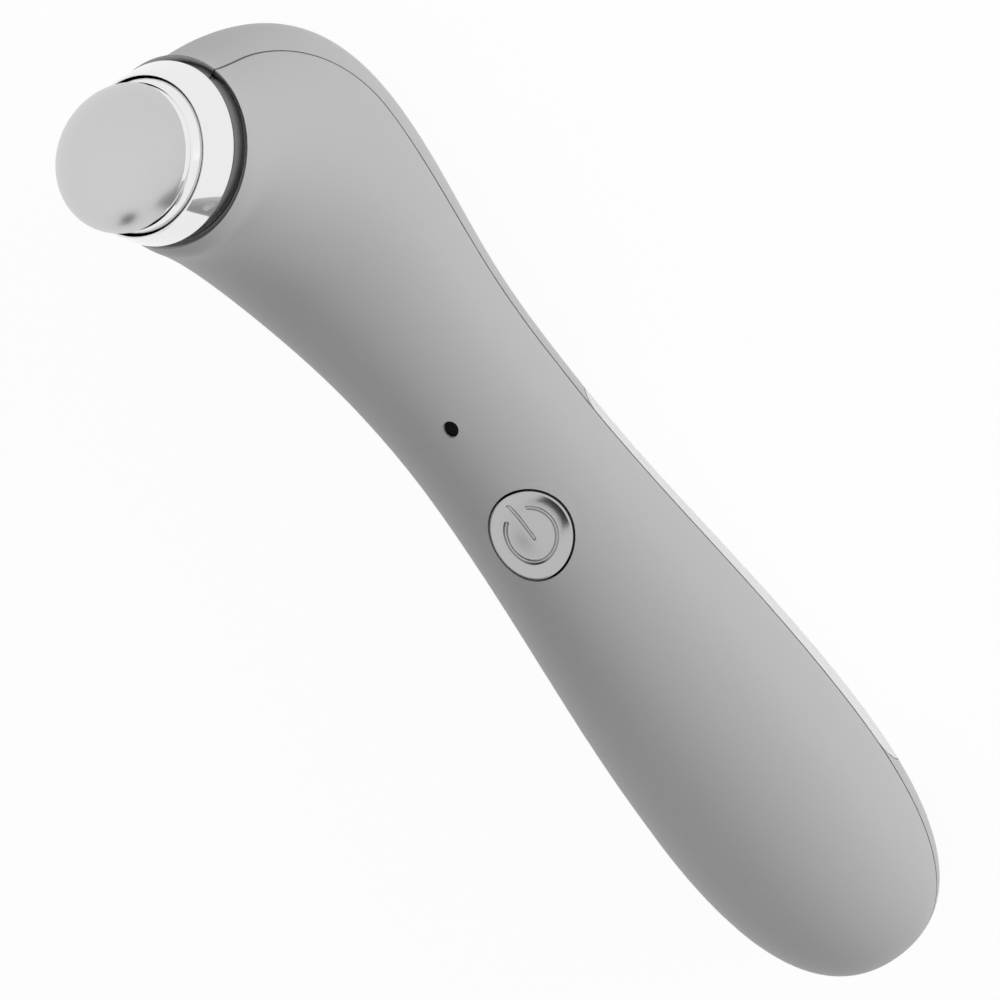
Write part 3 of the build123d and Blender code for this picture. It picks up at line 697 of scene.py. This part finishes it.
# Board: glass epoxy under green solder mask, screwed to posts in the rear half, with the
# switch under the button, a moulded chip and a wound choke soldered to it.
BOARD_GRAIN, MOULD_DEPTH = 1500, 0.00001
FERRITE_GRAIN, FERRITE_DEPTH = 4000, 0.00003

board_finish = Finish("green solder mask", (0.02, 0.13, 0.05, 1), roughness=0.35)
board_finish.bump(board_finish.noise(BOARD_GRAIN), MOULD_DEPTH)
dress(["circuit_board"], board_finish)
black_finish = Finish("black moulding", (0.02, 0.02, 0.02, 1), roughness=0.5)
black_finish.bump(black_finish.noise(SKIN_GRAIN), MOULD_DEPTH)
dress(["tactile_switch", "switch_plunger", "control_chip"], black_finish)
ferrite_finish = Finish("ferrite", (0.05, 0.05, 0.05, 1), roughness=0.6)
ferrite_finish.bump(ferrite_finish.noise(FERRITE_GRAIN), FERRITE_DEPTH)
dress(["choke"], ferrite_finish)


# Indicator: a small lamp on the board behind a smoked lens, pressed into the housing's small hole
# from inside. The lens's near black and weak shine are partly its own tint, and partly painted
# shade for the dark of that small hole.
LENS_SHINE = 0.1

lens_and_hole_shade_finish = Finish("smoked lens", (0.003, 0.003, 0.003, 1), roughness=0.5)
lens_and_hole_shade_finish.link("Specular IOR Level", LENS_SHINE)
dress(["light_guide"], lens_and_hole_shade_finish)
lamp_finish = Finish("lamp resin", (0.8, 0.8, 0.75, 1), roughness=0.2)
dress(["indicator_led"], lamp_finish)


# Motor: a drawn steel can whose shaft turns an off-centre sintered weight, held in a rubber
# cradle. The capacitor on the board has a can that is drawn in the same way.
CAN_GRAIN, CAN_STRETCH, CAN_DEPTH = 3000, (0.1, 1, 1), 0.000006
SINTER_GRAIN, SINTER_DEPTH = 5000, 0.00003

can_finish = Finish("drawn can", (0.7, 0.7, 0.7, 1), roughness=0.3, metallic=1.0)
can_finish.bump(can_finish.noise(CAN_GRAIN, stretch=CAN_STRETCH), CAN_DEPTH)
dress(["capacitor", "vibration_motor"], can_finish)
weight_finish = Finish("sintered weight", (0.4, 0.39, 0.37, 1), roughness=0.5, metallic=1.0)
weight_finish.bump(weight_finish.noise(SINTER_GRAIN), SINTER_DEPTH)
dress(["eccentric_weight"], weight_finish)


# Studio: a white floor and an even pale room, a large soft lamp on the head's side of the
# front and a weaker one opposite. A dark card beside the button shades its dish, and the
# camera looks as in the photograph, from low in front.
FLOOR_SIZE = 6
FLOOR_WHITE = (0.9, 0.9, 0.9, 1)
FLOOR_GLOW = 1.03
GLOW_SHARE = 0.9
MATT = 0.9
WHITE = (1, 1, 1, 1)
ROOM_LEVEL = 0.48
KEY_PLACE, KEY_WATTS, KEY_SIZE = (0.8, 0.35, 0.55), 10.5, 0.7
FILL_PLACE, FILL_WATTS, FILL_SIZE = (-0.7, 0.3, 0.7), 1.0, 0.9
CARD_WAY, CARD_DISTANCE, CARD_SIZE = (-0.79, -0.605, 0.09), 0.06, 0.045
CARD_BLACK = (0.03, 0.03, 0.03, 1)
VIEW_TILT = math.radians(27.5)
VIEW_TURN = math.radians(52.6)
VIEW_AIM = Vector((0.0037, 0.0002, 0.0268))
VIEW_DISTANCE = 0.7
VIEW_FIELD = 0.14245
VIEW_NEAR, VIEW_FAR = 0.01, 20
SENSOR_WIDTH = 36


def shown(nodes):
    """1 where the camera or a mirror looks at the room, and 0 where the room sheds light."""
    seen = nodes.add("ShaderNodeLightPath", {}, {}, "Is Camera Ray")
    mirrored = nodes.add("ShaderNodeLightPath", {}, {}, "Is Glossy Ray")
    return seen + mirrored


bpy.ops.mesh.primitive_plane_add(size=FLOOR_SIZE)
floor = bpy.context.object
floor.name = "studio_floor"
floor_finish = Finish("white floor", FLOOR_WHITE, MATT)
glow = floor_finish.add("ShaderNodeEmission", {}, {"Color": WHITE, "Strength": FLOOR_GLOW})
plain = Wire(floor_finish, floor_finish.shader.outputs[0])
looks = {"Fac": shown(floor_finish) * GLOW_SHARE, 1: plain, 2: glow}
floor_look = floor_finish.add("ShaderNodeMixShader", {}, looks)
floor_finish.fill(floor_finish.tree.nodes["Material Output"].inputs[0], floor_look)
floor.data.materials.append(floor_finish.material)

world = bpy.data.worlds.new("pale room")
bpy.context.scene.world = world
world.use_nodes = True
room = Nodes(world.node_tree)
background = room.tree.nodes["Background"]
room.fill(background.inputs["Color"], WHITE)
room.fill(background.inputs["Strength"], shown(room) * (1 - ROOM_LEVEL) + ROOM_LEVEL)

view_back = Vector((0, -math.sin(VIEW_TILT), math.cos(VIEW_TILT)))
head_way = Vector((1, 0, 0))
low_way = Vector((0, -math.cos(VIEW_TILT), -math.sin(VIEW_TILT)))
view_right = -math.cos(VIEW_TURN) * head_way + math.sin(VIEW_TURN) * low_way
view_up = math.sin(VIEW_TURN) * head_way + math.cos(VIEW_TURN) * low_way


def as_seen(right, up, back):
    """A way in the room, from how far it goes right, up and back in the picture."""
    return view_right * right + view_up * up + view_back * back


def lamp_at(name, place, watts, size):
    """A square soft lamp, at a place beside, above and in front of the aim, turned to it."""
    light = bpy.data.lights.new(name, "AREA")
    light.energy, light.size = watts, size
    made = bpy.data.objects.new(name, light)
    bpy.context.scene.collection.objects.link(made)
    away = as_seen(*place)
    made.location = VIEW_AIM + away
    made.rotation_mode = "QUATERNION"
    made.rotation_quaternion = away.to_track_quat("Z", "Y")
    made.visible_glossy = False


def dark_card(name, way, distance, width, shade):
    """A card a way off the button that only metal and gloss show, and that casts no shadow."""
    bpy.ops.mesh.primitive_plane_add(size=width)
    card = bpy.context.object
    card.name = name
    away = as_seen(*way).normalized() * distance
    turn = away.to_track_quat("Z", "Y").to_matrix().to_4x4()
    card.data.transform(Matrix.Translation(button_middle + away) @ turn)
    card.data.materials.append(Finish(name, shade, MATT).material)
    card.visible_camera = card.visible_diffuse = card.visible_shadow = False


dark_card("button_card", CARD_WAY, CARD_DISTANCE, CARD_SIZE, CARD_BLACK)
lamp_at("key", KEY_PLACE, KEY_WATTS, KEY_SIZE)
lamp_at("fill", FILL_PLACE, FILL_WATTS, FILL_SIZE)

camera = bpy.data.objects.new("camera", bpy.data.cameras.new("camera"))
bpy.context.scene.collection.objects.link(camera)
camera.matrix_world = (
    Matrix.Translation(VIEW_AIM + view_back * VIEW_DISTANCE)
    @ Matrix((view_right, view_up, view_back)).transposed().to_4x4()
)
camera.data.sensor_width = SENSOR_WIDTH
camera.data.lens = SENSOR_WIDTH * VIEW_DISTANCE / VIEW_FIELD
camera.data.clip_start, camera.data.clip_end = VIEW_NEAR, VIEW_FAR
bpy.context.scene.camera = camera
bpy.context.scene.view_settings.view_transform = "Standard"
